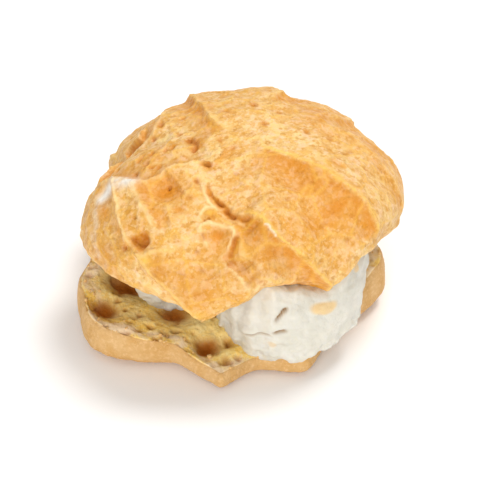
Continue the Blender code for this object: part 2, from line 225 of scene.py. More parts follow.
# Swellings, or hollows where the height is negative: place, radius and height
SWELLINGS = [
    (-7.1, -20.0, 1.0, 0.8), (-5.5, -25.0, 1.9, -0.7), (-12.7, -18.8, 1.2, -0.4), (-24.0, 17.0, 5.0, -1.2),
    (-15.2, -13.0, 3.0, -0.6), (-31.0, -12.0, 3.0, 0.8), (-22.8, -15.0, 2.4, -0.5),
    (1.0, -11.0, 6.0, 0.6), (30.0, 10.0, 14.0, -1.5), (14.0, -20.0, 5.0, -0.8), (23.0, -27.0, 6.0, -0.5), (-11.0, -38.0, 6.0, 0.6),
    (36.0, -12.0, 5.0, 0.5), (0.5, -38.0, 2.4, -0.3), (-2.6, -33.8, 1.5, -0.5), (1.0, -36.6, 1.8, -0.3),
    (3.4, -42.4, 1.9, -0.5),
]
# Broad tints of the crust: attribute, place, radius and strength. The toasted spots carry painted shade as well, the
# dark spots are painted shade in hollows, and the crest spots are painted highlight.
TINTS = [
    ("pale", 6, 0, 9, 0.9), ("pale", 20, -6, 9, 0.9), ("pale", 34, -14, 7, 0.8), ("pale", -1, -12, 7, 1.0),
    ("pale", -8, -9, 5, 0.9), ("pale", -12, -22, 5, 0.5), ("pale", 12, -45, 6, 0.9), ("pale", 24, -49, 7, 0.7),
    ("pale", -22, -43, 5, 1.0), ("pale", -26, -34, 4, 1.0), ("pale", -23, 8, 4, 0.7), ("pale", -10, 6, 4, 0.7),
    ("pale", -20, -9, 3, 0.8), ("pale", -12, -5, 4, 0.9), ("pale", 5, -42, 3, 0.5), ("pale", 33, -32, 6, 0.6),
    ("rim", -24, -40, 2.5, 0.5), ("rim", -22, -45, 3, 0.5),
    ("toast_and_shade", 11, -13.5, 4.5, 0.9), ("toast_and_shade", 19, -20, 5, 1.0), ("toast_and_shade", 14, -25, 6, 0.6),
    ("toast_and_shade", 8, -35.5, 4.0, 1.0), ("toast_and_shade", 3.4, -29.5, 3.0, 1.0), ("toast_and_shade", 14, -40.0, 3.0, 0.8),
    ("toast_and_shade", -15, -13, 3.8, 1.0), ("toast_and_shade", -12.6, -18.8, 1.5, 0.8), ("toast_and_shade", -5.3, -25.0, 2.0, 1.0),
    ("toast_and_shade", -18.5, -33, 3.0, 0.7), ("toast_and_shade", -11, -40, 7, 0.6), ("toast_and_shade", -18, -3, 3, 0.5), ("pale", -26, 4, 8, 0.8), ("pale", -19, 5, 6, 0.9),
    ("toast_and_shade", -9.6, 9, 2.4, 0.8), ("toast_and_shade", -10.6, 16, 2.0, 0.8), ("toast_and_shade", -17, 20, 3.0, 0.7),
    ("toast_and_shade", 12, 7, 6, 0.6), ("toast_and_shade", 26, 3, 6, 0.6), ("toast_and_shade", -29.5, -14, 2.0, 0.7),
    ("toast_and_shade", 20.5, -46.6, 1.6, 0.9), ("toast_and_shade", -7.1, -20.2, 1.3, 1.0), ("toast_and_shade", -34, -26, 5, 0.4),
    ("recess_shade", -2.6, -33.8, 1.5, 0.7), ("recess_shade", 1.0, -36.6, 1.9, 0.45), ("recess_shade", 3.4, -42.4, 1.9, 0.7),
    ("golden_crest_highlight", -7.0, -19.8, 1.0, 0.7), ("golden_crest_highlight", -21.6, -30.6, 1.4, 0.9), ("golden_crest_highlight", -12, -48, 3.0, 0.5),
    ("rim", 4.6, -47.2, 1.4, 1.0),
]
# Marks on the side of the cream, in millimetres around it and up it
CREAM_AROUND = 0.035
CREAM_UP = 0.007
SLITS = [
    (1.0, 0.30, [(-43.9, 4.7), (-45.2, 3.8), (-46.0, 2.9), (-47.2, 1.8)]),
    (0.9, 0.28, [(-44.2, 0.6), (-46, 0.1), (-47.8, -0.3)]),
    (0.5, 0.20, [(-53.8, -1.1), (-51.3, -1.0), (-47.5, -0.7)]),
    (0.9, 0.30, [(-53.9, -1.2), (-53.4, -1.1)]),
    (0.6, 0.40, [(-49.2, -1.7), (-48.8, -1.8)]),
]
CREAM_FOLDS = [
    (0.5, 2.5, [(-37, 6.2), (-33, 5.6), (-29.5, 5.2), (-25, 5.4)]),
    (0.4, 3.0, [(-40, 3.6), (-34, 3.4), (-28, 4.0)]),
    (0.4, 3.0, [(-58, -0.6), (-52, -1.8), (-46, -2.4), (-38, -2.0)]),
]
STAINS = [(-36.0, 4.2, 3.0, 1.2, 0.9), (-25.0, 5.6, 0.8, 0.7, 0.8), (-47.6, -2.6, 0.9, 0.6, 0.5)]
CRUMB_SEED = 5
CRUMB_COUNT = 140
CRUMB_SIZE = 0.00055
# Light streaks on the crust, dust and a glint that is a painted highlight: tint, width, strength and line
STREAKS = [
    ("dust", 1.7, 0.9, [(-21.5, -9.4), (-24, -8.4), (-27, -8.0), (-30, -10)]),
    ("dust", 1.2, 0.25, [(-30, -10), (-32, -12.4), (-34, -15.4), (-36, -19), (-37.5, -24)]),
    ("glint", 0.22, 0.8, [(4.2, -27.9), (7.4, -31.6)]),
]


def wrap(angle):
    return (angle + 180.0) % 360.0 - 180.0


def ease(x):
    """Smooth step from 0 to 1."""
    x = np.clip(x, 0.0, 1.0)
    return x * x * (3.0 - 2.0 * x)


def mix(a, b, share):
    return a + (b - a) * share


def stretch(share, start, end):
    """How far a share has come along one stretch of a profile, from 0 to 1."""
    return np.clip((share - start) / (end - start), 0.0, 1.0)


def lobed(azimuth, mean, lobes):
    """A radius with bulges and dents at named azimuths."""
    radius = np.full_like(azimuth, mean)
    for centre, height, width, power in lobes:
        radius += height * np.exp(-np.abs(wrap(azimuth - centre) / width) ** power)
    return radius


def around(azimuth, knots):
    """A smooth value around the puff, through (azimuth, value) knots."""
    knots = sorted(knots)
    knots = [(knots[-1][0] - 360, knots[-1][1])] + knots + [(knots[0][0] + 360, knots[0][1])]
    angles = np.array([knot[0] for knot in knots], dtype=float)
    values = np.array([knot[1] for knot in knots], dtype=float)
    azimuth = wrap(azimuth)
    left = np.clip(np.searchsorted(angles, azimuth) - 1, 0, len(angles) - 2)
    share = ease((azimuth - angles[left]) / (angles[left + 1] - angles[left]))
    return mix(values[left], values[left + 1], share)


def on_disc(azimuth, radius, centre=(0.0, 0.0)):
    angle = np.radians(azimuth)
    return centre[0] + radius * np.cos(angle), centre[1] + radius * np.sin(angle)


def from_centre(x, y, centre=(0.0, 0.0)):
    return np.degrees(np.arctan2(y - centre[1], x - centre[0])), np.hypot(x - centre[0], y - centre[1])


def bulge(share, inner, outer, fullness):
    """Radius along a bulging side, and a rise that runs from 1 at its top to -1 at its bottom."""
    angle = np.radians(mix(90.0, -90.0, share))
    return mix(inner, outer, np.abs(np.cos(angle)) ** fullness), np.sin(angle)


# ---------------------------------------------------------------- noise

def ripple(points, size, octaves=3, offset=0.0):
    """Smooth noise of about -1 to 1, with features of a size in metres."""
    places = (points / size + offset).tolist()
    return np.array([noise.fractal(place, 1.0, 2.0, octaves) for place in places])


def bubbles(points, size, offset=0.0):
    """Distance to the nearest scattered point in cell sizes, and a random number for each cell."""
    near = np.empty(len(points))
    draw = np.empty(len(points))
    for index, place in enumerate((points / size + offset).tolist()):
        distances, centres = noise.voronoi(place)
        near[index] = distances[0]
        draw[index] = noise.cell(centres[0] * 37.0)
    return near, draw


def facets(points, size):
    """Shallow hollows of a size with narrow crests between them: both from 0 to 1."""
    hollow = np.empty(len(points))
    for index, place in enumerate((points / size).tolist()):
        distances = noise.voronoi(place)[0]
        hollow[index] = distances[1] - distances[0]
    return np.clip(hollow / 0.5, 0.0, 1.0) ** 0.7, np.exp(-(hollow / 0.05) ** 2)


def bowl(distance, radius):
    """A round hollow with steep sides: 1 in the middle and 0 past its radius."""
    return 1.0 - ease(distance / radius)


# ---------------------------------------------------------------- meshes

def ball():
    """A subdivided cube blown up to a ball: its mesh, and the azimuth and share of each vertex."""
    form = bmesh.new()
    bmesh.ops.create_cube(form, size=2.0)
    bmesh.ops.subdivide_edges(form, edges=form.edges[:], cuts=GRID_CUTS, use_grid_fill=True)
    mesh = bpy.data.meshes.new("ball")
    form.to_mesh(mesh)
    form.free()
    spread = np.tan(read(mesh.vertices, "co") * np.pi / 4.0)
    spread /= np.linalg.norm(spread, axis=1, keepdims=True)
    azimuth = np.degrees(np.arctan2(spread[:, 1], spread[:, 0]))
    return mesh, azimuth, np.arccos(np.clip(spread[:, 2], -1.0, 1.0)) / np.pi


def read(items, name):
    values = np.empty(len(items) * 3, dtype=np.float32)
    items.foreach_get(name, values)
    return values.reshape(-1, 3).astype(float)


def place(mesh, points):
    mesh.vertices.foreach_set("co", np.ascontiguousarray(points, dtype=np.float32).ravel())
    mesh.update()


def raise_skin(mesh, height):
    """Move each vertex along the surface's own direction."""
    place(mesh, read(mesh.vertices, "co") + read(mesh.vertex_normals, "vector") * height[:, None])


def paint(mesh, name, values):
    layer = mesh.attributes.new(name, "FLOAT", "POINT")
    layer.data.foreach_set("value", np.clip(values, 0.0, 1.0).astype(np.float32))


# ---------------------------------------------------------------- cap

EDGE_TAPER = 0.0035       # length over which an edge rises at its ends
LIP_REACH = 1.5        # how far behind its edge an overhang starts
CREST_WIDTH = 0.40
CELL_SIZE = 0.0085        # size of the shallow facets between the ridges
CELL_DEPTH = 0.00040
CELL_MEAN = 0.75
# Tints painted on the crust. The crest tint and the glint are painted highlight, the rim tint is pale broken crust
# with painted highlight on low crests, the toasted tint carries painted shade, and the dark tint is painted shade in
# hollows.
CRUST_TINTS = ("golden_crest_highlight", "rim", "glint", "toast_and_shade", "recess_shade", "pale", "dust")
RIM_HOLD = 0.7            # share of a hollow's depth that is lost at the cap's rim


def turn_signs(points):
    """The side that the outside of each bend lies on: -1 at a bend to the left, 1 to the right."""
    steps = np.diff(points, axis=0)
    turns = steps[:-1, 0] * steps[1:, 1] - steps[:-1, 1] * steps[1:, 0]
    return np.where(turns > 0.0, -1.0, 1.0)


def line_field(u, v, points):
    """Signed distance to a line, positive on its left, the direction that points to the left,
    and the distance to the line's nearer end."""
    points = np.array(points) * MM
    outsides = turn_signs(points)
    best = np.full_like(u, np.inf)
    side, left_u, left_v, along = np.ones_like(u), np.zeros_like(u), np.zeros_like(u), np.zeros_like(u)
    length = 0.0
    for index, (start, end) in enumerate(zip(points[:-1], points[1:])):
        step_u, step_v = end - start
        run = np.hypot(step_u, step_v)
        share = np.clip(((u - start[0]) * step_u + (v - start[1]) * step_v) / run ** 2, 0.0, 1.0)
        off_u, off_v = u - start[0] - share * step_u, v - start[1] - share * step_v
        distance = np.hypot(off_u, off_v)
        on_side = np.where(step_u * off_v - step_v * off_u < 0.0, -1.0, 1.0)
        if index > 0:
            on_side = np.where(share == 0.0, outsides[index - 1], on_side)
        if index < len(outsides):
            on_side = np.where(share == 1.0, outsides[index], on_side)
        nearer = distance < best
        best = np.where(nearer, distance, best)
        side = np.where(nearer, on_side, side)
        along = np.where(nearer, length + share * run, along)
        left_u = np.where(nearer, -step_v / run, left_u)
        left_v = np.where(nearer, step_u / run, left_v)
        length += run
    return best * side, left_u, left_v, np.minimum(along, length - along)


class Relief:
    """Height of the crust over its smooth skin, its overhang, and the tints that go with it, painted shade and
    painted highlight among them.
    """

    def __init__(self, u, v, grain):
        self.u, self.v, self.grain = u, v, grain
        self.height, self.over_u, self.over_v = np.zeros_like(u), np.zeros_like(u), np.zeros_like(u)
        self.tints = {name: np.zeros_like(u) for name in CRUST_TINTS}

    def tint(self, name, strength):
        self.tints[name] = np.maximum(self.tints[name], strength)

    def edge(self, rise, sink, wide, fall, reach, lip, toast_and_shade, golden, points):
        distance, left_u, left_v, end = line_field(self.u, self.v, points)
        taper = ease(end / EDGE_TAPER)
        above = np.maximum(distance, 0.0) / MM
        below = np.minimum(distance, 0.0) / MM
        drop = np.exp(below / fall)
        back = np.exp(below / reach)
        slope = rise * drop - sink * (1.0 - drop) * back
        self.height += taper * MM * np.where(distance > 0.0, rise * np.exp(-above / wide), slope)
        overhang = taper * lip * MM * np.exp(-above / LIP_REACH) * (distance > 0.0)
        self.over_u -= overhang * left_u
        self.over_v -= overhang * left_v
        # Painted highlight along the crest: golden where golden is high, pale where it is low.
        bright = taper * min(1.0, rise / 1.4) * (0.75 + 0.5 * self.grain)
        bright *= np.exp(-((distance / MM - CREST_WIDTH) / CREST_WIDTH) ** 2)
        self.tint("golden_crest_highlight", golden * bright)
        self.tint("rim", (1.0 - golden) * bright)
        # Painted shade on the low side: toasted orange that fades out over the reach, and a darker band right under
        # the crest.
        low = taper * ease(0.2 - distance / MM) * (distance < 0.0002)
        self.tint("toast_and_shade", toast_and_shade * low * back)
        self.tint("recess_shade", 0.5 * toast_and_shade * low * np.exp(below / 0.7) * max(0.0, 1.0 - fall))

    def crack(self, depth, width, gaps, points):
        distance, _, _, end = line_field(self.u, self.v, points)
        distance = np.abs(distance) / (width * MM)
        broken = ease(end / 0.001) * mix(1.0, ease(0.55 + 1.6 * self.grain), gaps)
        self.height -= depth * MM * broken * np.exp(-distance ** 2)
        # Painted shade in the crack's groove, toasted orange with painted shade beside it, and pale broken rims
        # further out.
        self.tint("recess_shade", broken * np.exp(-distance ** 2))
        self.tint("toast_and_shade", ease(end / 0.001) * np.exp(-(distance / 2.2) ** 2))
        self.tint("rim", 0.6 * gaps * ease(end / 0.002) * ease(0.4 - 1.5 * self.grain)
                  * np.exp(-((distance - 2.0) / 0.7) ** 2))

    def rim(self, height, width, points):
        distance, _, _, end = line_field(self.u, self.v, points)
        welt = ease(end / 0.0015) * np.exp(-(distance / (width * MM)) ** 2)
        self.height += height * MM * welt * (0.8 + 0.6 * self.grain)
        self.tint("rim", welt * (0.9 + 0.4 * self.grain))

    def pit(self, u, v, radius, depth):
        dent = bowl(np.hypot(self.u - u * MM, self.v - v * MM), radius * MM * 1.4)
        self.height -= depth * MM * dent
        # Painted shade in the pit, and toasted orange with painted shade around it.
        self.tint("recess_shade", 0.75 * dent * min(1.0, depth / 0.8))
        self.tint("toast_and_shade", 0.8 * bowl(np.hypot(self.u - u * MM, self.v - v * MM), radius * MM * 2.2))

    def swelling(self, u, v, radius, height):
        spot = np.hypot(self.u - u * MM, self.v - v * MM) / (radius * MM)
        self.height += height * MM * np.exp(-spot ** 2)


def crust_relief(u, v):
    flat = np.stack([u, v, np.zeros_like(u)], axis=1)
    relief = Relief(u + 0.0005 * ripple(flat, 0.007) + 0.00022 * ripple(flat, 0.0016, 2, 7.1),
                    v + 0.0005 * ripple(flat, 0.007, 3, 3.3) + 0.00022 * ripple(flat, 0.0016, 2, 9.7),
                    ripple(flat, 0.0020, 2, 11.0))
    for row in EDGES:
        relief.edge(*row)
    for row in CRACKS:
        relief.crack(*row)
    for row in RIMS:
        relief.rim(*row)
    for row in PITS:
        relief.pit(*row)
    for row in SWELLINGS:
        relief.swelling(*row)
    for name, tint_u, tint_v, radius, strength in TINTS:
        spot = np.hypot(relief.u - tint_u * MM, relief.v - tint_v * MM) / (radius * MM)
        relief.tint(name, strength * np.exp(-spot ** 2))
    for name, width, strength, line in STREAKS:
        distance, _, _, _ = line_field(relief.u, relief.v, line)
        relief.tint(name, strength * np.exp(-(distance / (width * MM)) ** 2))
    hold = 1.0 - RIM_HOLD * ease((np.hypot(u, v) / CAP_ARC - 0.75) / 0.2)
    relief.height = np.where(relief.height < 0.0, relief.height * hold, relief.height)
    return relief


def cap_skin(azimuth, dome, skirt):
    """Radius and height on the outside: dome and skirt each run from 0 to 1 on the way down."""
    angle = np.radians(90.0 * dome)
    radius = lobed(azimuth, CAP_RADIUS, CAP_LOBES) * np.sin(angle) ** 0.92
    rim = around(azimuth, CAP_RIM)
    equator = mix(CAP_EQUATOR, rim + CAP_TUCK, ease(dome))
    height = equator + CAP_DOME * np.abs(np.cos(angle)) ** 0.95
    return radius - CAP_INSET * skirt ** 2, height - (CAP_TUCK - CAP_EDGE) * skirt


def make_cap():
    mesh, azimuth, share = ball()
    dome = stretch(share, 0.0, CAP_DOME_END)
    skirt = stretch(share, CAP_DOME_END, CAP_SKIRT_END)
    edge = np.radians(180.0 * stretch(share, CAP_SKIRT_END, CAP_EDGE_END))
    hollow = stretch(share, CAP_EDGE_END, 1.0)
    outside = ease(1.0 - stretch(share, CAP_SKIRT_END, CAP_EDGE_END))

    u, v = on_disc(azimuth, CAP_ARC * dome + CAP_TUCK * skirt)
    relief = crust_relief(u, v)
    azimuth_on, arc = from_centre(u + relief.over_u * outside, v + relief.over_v * outside)
    inside = share > CAP_SKIRT_END
    azimuth = np.where(inside, azimuth, azimuth_on)
    dome = np.where(inside, 1.0, np.clip(arc / CAP_ARC, 0.0, 1.0))
    skirt = np.where(inside, 1.0, np.clip((arc - CAP_ARC) / CAP_TUCK, 0.0, 1.0))
    reach, z = cap_skin(azimuth, dome, skirt)
    reach = (reach - CAP_EDGE * (1.0 - np.cos(edge))) * (1.0 - hollow)
    z = mix(z - CAP_EDGE * np.sin(edge), CAP_CEILING, 1.0 - (1.0 - hollow) ** 2)
    x, y = on_disc(azimuth, reach, CAP_CENTRE)
    lean = 1.0 - np.sin(np.radians(90.0 * dome))
    points = np.stack([x + CAP_LEAN[0] * lean, y + CAP_LEAN[1] * lean, z], axis=1)

    out = (points - np.array([*CAP_CENTRE, CAP_EQUATOR])) / np.array([CAP_RADIUS, CAP_RADIUS, CAP_DOME]) ** 2
    out /= np.linalg.norm(out, axis=1, keepdims=True)
    facet, border = facets(points, CELL_SIZE)
    swell = 0.0006 * ripple(points, 0.014, 2) + CELL_DEPTH * (CELL_MEAN - facet)
    points += out * ((relief.height + swell) * outside)[:, None]
    points[:, 2] += skirt * (1.0 - hollow) * 0.0006 * ripple(points, 0.005, 3, 5.0)
    place(mesh, points)

    near, draw = bubbles(points, 0.0026)
    pore = bowl(near, 0.40) * ease((draw - 0.55) / 0.2)
    blister = np.clip(1.0 - (near / 0.55) ** 2, 0.0, 1.0) * ease((0.45 - draw) / 0.2)
    near, draw = bubbles(points, 0.0012, 4.0)
    pin = bowl(near, 0.42) * ease((draw - 0.5) / 0.2)
    wrinkle = ripple(points, 0.0034, 4, 1.0)
    raise_skin(mesh, outside * (0.00020 * wrinkle - 0.00036 * pore + 0.00014 * blister - 0.00020 * pin))

    # Painted highlight on the crests between the facets.
    relief.tint("golden_crest_highlight", 0.35 * border)
    # Painted shade in the pores.
    relief.tint("recess_shade", 0.6 * np.maximum(pore, 0.7 * pin))
    for name, strength in relief.tints.items():
        paint(mesh, name, strength * outside)
    paint(mesh, "crumb", 1.0 - outside)
    return finish_piece(mesh, "cap_crust", "choux_cap", crust_material())


# ---------------------------------------------------------------- base

def base_radius(azimuth):
    return lobed(azimuth, BASE_RADIUS, BASE_LOBES)


def base_top(x, y):
    """Height of the crumb face, which dips from the rim to the floor under the cream."""
    azimuth, radius = from_centre(x, y)
    share = radius / base_radius(azimuth)
    height = mix(BASE_FLOOR, around(azimuth, BASE_RIM), ease((share - 0.45) / 0.5))
    for hole_x, hole_y, hole_radius, depth in CRUMB_HOLES:
        height -= depth * np.exp(-(np.hypot(x - hole_x, y - hole_y) / hole_radius) ** 2)
    return height


def make_base():
    mesh, azimuth, share = ball()
    radius = base_radius(azimuth)
    rim = around(azimuth, BASE_RIM)
    belly = BASE_BELLY * rim
    wall = stretch(share, BASE_FACE_END, BASE_WALL_END)
    inner = np.where(wall < 0.5, BASE_LIP, BASE_FLAT) * radius
    reach, rise = bulge(wall, inner, radius, 0.75)
    z = np.where(rise > 0.0, mix(belly, rim, rise), belly * (1.0 + rise))
    on_face = share < BASE_FACE_END
    on_flat = share > BASE_WALL_END
    reach = np.where(on_face, share / BASE_FACE_END * BASE_LIP * radius, reach)
    reach = np.where(on_flat, (1.0 - share) / (1.0 - BASE_WALL_END) * BASE_FLAT * radius, reach)
    x, y = on_disc(azimuth, reach)
    z = np.where(on_face, base_top(x, y), np.where(on_flat, 0.0, z))
    points = np.stack([x, y, z], axis=1)
    place(mesh, points)

    ragged = 0.010 * ripple(points, 0.0040, 3, 6.0)
    face = ease((BASE_FACE_END + 0.030 + ragged - share) / 0.015)
    skin = (1.0 - face) * np.where(on_flat, 0.0, 1.0)
    bent = points + 0.0006 * np.stack([ripple(points, 0.0030, 2, shift) for shift in (1.0, 3.0, 5.0)], axis=1)
    large, draw_large = bubbles(bent, 0.0042)
    middle, draw_middle = bubbles(bent, 0.0023, 2.0)
    small, draw_small = bubbles(bent, 0.0012, 6.0)
    hole = bowl(large, 0.50) * ease((draw_large - 0.55) / 0.2)
    pore = bowl(middle, 0.55) * ease((draw_middle - 0.45) / 0.2)
    pin = bowl(small, 0.60) * ease((draw_small - 0.25) / 0.2)
    named = np.zeros_like(x)
    pitted = np.zeros_like(x)
    for hole_x, hole_y, hole_radius, _ in CRUMB_HOLES:
        away = np.hypot(bent[:, 0] - hole_x, bent[:, 1] - hole_y) / hole_radius
        named = np.maximum(named, np.exp(-away ** 4))
    for pit_x, pit_y, pit_radius, depth in CRUMB_PITS:
        pit = bowl(np.hypot(bent[:, 0] - pit_x, bent[:, 1] - pit_y), 1.4 * pit_radius)
        pitted += depth * pit
        named = np.maximum(named, 0.8 * pit)
    crumb = -0.0011 * hole - 0.0008 * pore - 0.0004 * pin + 0.0005 * ripple(points, 0.004) - pitted
    bark = 0.0003 * ripple(points, 0.008) + 0.00012 * ripple(points, 0.0016)
    raise_skin(mesh, face * crumb + skin * bark)

    paint(mesh, "crumb", face)
    # Painted shade in the holes and pores, and in the small pores.
    paint(mesh, "hole", face * np.maximum(named, np.maximum(0.85 * hole, 0.55 * pore)))
    paint(mesh, "pin", pin)
    paint(mesh, "border", face * ease((share - BASE_FACE_END + 0.055) / 0.03))
    paint(mesh, "low", 1.0 - z / belly)
    return finish_piece(mesh, "base_crumb", "choux_base", crumb_material())


def make_crumbs(base):
    """Loose crumbs that lie on the outer part of the crumb face."""
    rng = np.random.default_rng(CRUMB_SEED)
    points = read(base.data.vertices, "co")
    normals = read(base.data.vertex_normals, "vector")
    border = np.empty(len(points), dtype=np.float32)
    base.data.attributes["border"].data.foreach_get("value", border)
    spots = rng.choice(np.flatnonzero((border > 0.02) & (normals[:, 2] > 0.3)), CRUMB_COUNT, replace=False)
    form = bmesh.new()
    for spot in spots:
        size = CRUMB_SIZE * rng.uniform(0.5, 1.0) ** 2
        squash = rng.uniform(0.6, 1.2, 3)
        made = bmesh.ops.create_icosphere(form, subdivisions=2, radius=size)["verts"]
        for vertex in made:
            lump = 1.0 + 0.5 * noise.noise(vertex.co / size * 1.3 + Vector((spot, 0.0, 0.0)))
            vertex.co = Vector(vertex.co * lump) * Vector(squash) + Vector(points[spot] + normals[spot] * size * 0.5)
    mesh = bpy.data.meshes.new("crumbs")
    form.to_mesh(mesh)
    form.free()
    mesh.shade_smooth()
    look = Look("pale_crumbs")
    mesh.materials.append(look.finish(look.blend(look.noise(0.0008), colour("E3B064"), colour("F3CF92")), 0.7,
                                      look.noise(0.0004), 0.0002))
    piece = bpy.data.objects.new("loose_crumbs", mesh)
    bpy.context.scene.collection.objects.link(piece)
    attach(piece, "root")


# ---------------------------------------------------------------- cream

def cream_ceiling(azimuth, radius):
    """Height of the cream under the cap's edge and inside its hollow."""
    share = radius / (lobed(azimuth, CAP_RADIUS, CAP_LOBES) - CAP_INSET - 2.0 * CAP_EDGE)
    inside = np.clip(1.0 - (share / 0.92) ** 2, 0.0, 1.0)
    return mix(around(azimuth, CAP_RIM), CAP_CEILING, inside) + OVERLAP


def make_cream():
    mesh, azimuth, share = ball()
    outer = around(azimuth, CREAM_RADIUS)
    side = stretch(share, CREAM_TOP_END, CREAM_SIDE_END)
    reach, rise = bulge(side, outer - CREAM_FACE, outer, 0.7)
    to_side = np.minimum(share / CREAM_TOP_END, (1.0 - share) / (1.0 - CREAM_SIDE_END))
    reach = np.where(to_side < 1.0, to_side * (outer - CREAM_FACE), reach)
    x, y = on_disc(azimuth, reach, CAP_CENTRE)
    z = mix(base_top(x, y) - OVERLAP, cream_ceiling(azimuth, reach), 0.5 + 0.5 * rise)
    points = np.stack([x, y, z], axis=1)
    place(mesh, points)

    across = CREAM_AROUND * np.radians(azimuth)
    up = CREAM_UP * rise
    face = ease(to_side * 2.0 - 1.0)
    low = ease(-rise * 1.6 - 0.3)
    lump = 0.0007 * ripple(points, 0.009, 2) + 0.0004 * ripple(points, 0.0035, 3, 2.0)
    ragged = (0.0011 * ripple(points, 0.0045, 2, 8.0) + 0.0004 * ripple(points, 0.0014, 2, 4.0)) * low
    # Painted shade inside the slits.
    recess_shade = np.zeros_like(x)
    for depth, width, line in SLITS:
        distance, _, _, end = line_field(across, up, line)
        groove = ease(end / 0.0015 + 0.15) * np.exp(-(distance / (width * MM)) ** 2)
        lump -= depth * MM * groove
        recess_shade = np.maximum(recess_shade, groove * min(1.0, depth))
    for rise_by, width, line in CREAM_FOLDS:
        distance, _, _, end = line_field(across, up, line)
        step = 1.0 / (1.0 + np.exp(np.clip(-distance / 0.00025, -60.0, 60.0)))
        lump += rise_by * MM * ease(end / 0.004) * step * np.exp(-np.maximum(distance, 0.0) / (width * MM))
    stain = np.zeros_like(x)
    for spot_across, spot_up, half_across, half_up, strength in STAINS:
        spot = np.hypot((across - spot_across * MM) / (half_across * MM), (up - spot_up * MM) / (half_up * MM))
        stain = np.maximum(stain, strength * ease((1.3 - spot) / 0.5))
    raise_skin(mesh, face * (lump + ragged))
    paint(mesh, "low", low)
    paint(mesh, "recess_shade", recess_shade * face)
    paint(mesh, "stain", stain * face)
    return finish_piece(mesh, "cream_swirl", "cream_filling", cream_material())


# ---------------------------------------------------------------- materials

def colour(code):
    """Linear colour of a six-digit sRGB code."""
    channels = np.array([int(code[i:i + 2], 16) for i in (0, 2, 4)]) / 255.0
    linear = np.where(channels <= 0.04045, channels / 12.92, ((channels + 0.055) / 1.055) ** 2.4)
    return (*linear.tolist(), 1.0)


class Look:
    """A Principled material, with short calls for the nodes that feed it."""

    def __init__(self, name):
        self.material = bpy.data.materials.new(name)
        self.material.use_nodes = True
        self.tree = self.material.node_tree
        self.shader = self.tree.nodes["Principled BSDF"]
        self.place = self.tree.nodes.new("ShaderNodeTexCoord").outputs["Object"]

    def link(self, source, target):
        if isinstance(source, bpy.types.NodeSocket):
            self.tree.links.new(source, target)
        else:
            target.default_value = source

    def noise(self, size, detail=4.0, roughness=0.55, seed=0.0):
        """Noise of 0 to 1 whose features have a size in metres."""
        node = self.tree.nodes.new("ShaderNodeTexNoise")
        node.noise_dimensions = "4D"
        node.inputs["W"].default_value = seed
        node.inputs["Scale"].default_value = 1.0 / size
        node.inputs["Detail"].default_value = detail
        node.inputs["Roughness"].default_value = roughness
        self.tree.links.new(self.place, node.inputs["Vector"])
        return node.outputs["Fac"]

    def painted(self, name):
        node = self.tree.nodes.new("ShaderNodeAttribute")
        node.attribute_name = name
        return node.outputs["Fac"]

    def span(self, source, low, high, start=0.0, end=1.0):
        """Carry the range from low to high onto start to end."""
        node = self.tree.nodes.new("ShaderNodeMapRange")
        node.inputs["From Min"].default_value = low
        node.inputs["From Max"].default_value = high
        node.inputs["To Min"].default_value = start
        node.inputs["To Max"].default_value = end
        self.tree.links.new(source, node.inputs["Value"])
        return node.outputs["Result"]

    def math(self, operation, first, second):
        node = self.tree.nodes.new("ShaderNodeMath")
        node.operation = operation
        self.link(first, node.inputs[0])
        self.link(second, node.inputs[1])
        return node.outputs[0]

    def blend(self, share, first, second):
        node = self.tree.nodes.new("ShaderNodeMix")
        node.data_type = "RGBA"
        self.link(share, node.inputs[0])
        self.link(first, node.inputs[6])
        self.link(second, node.inputs[7])
        return node.outputs[2]

    def finish(self, base, roughness, height, distance):
        self.link(base, self.shader.inputs["Base Color"])
        self.link(roughness, self.shader.inputs["Roughness"])
        bump = self.tree.nodes.new("ShaderNodeBump")
        bump.inputs["Distance"].default_value = distance
        self.tree.links.new(height, bump.inputs["Height"])
        self.tree.links.new(bump.outputs["Normal"], self.shader.inputs["Normal"])
        return self.material


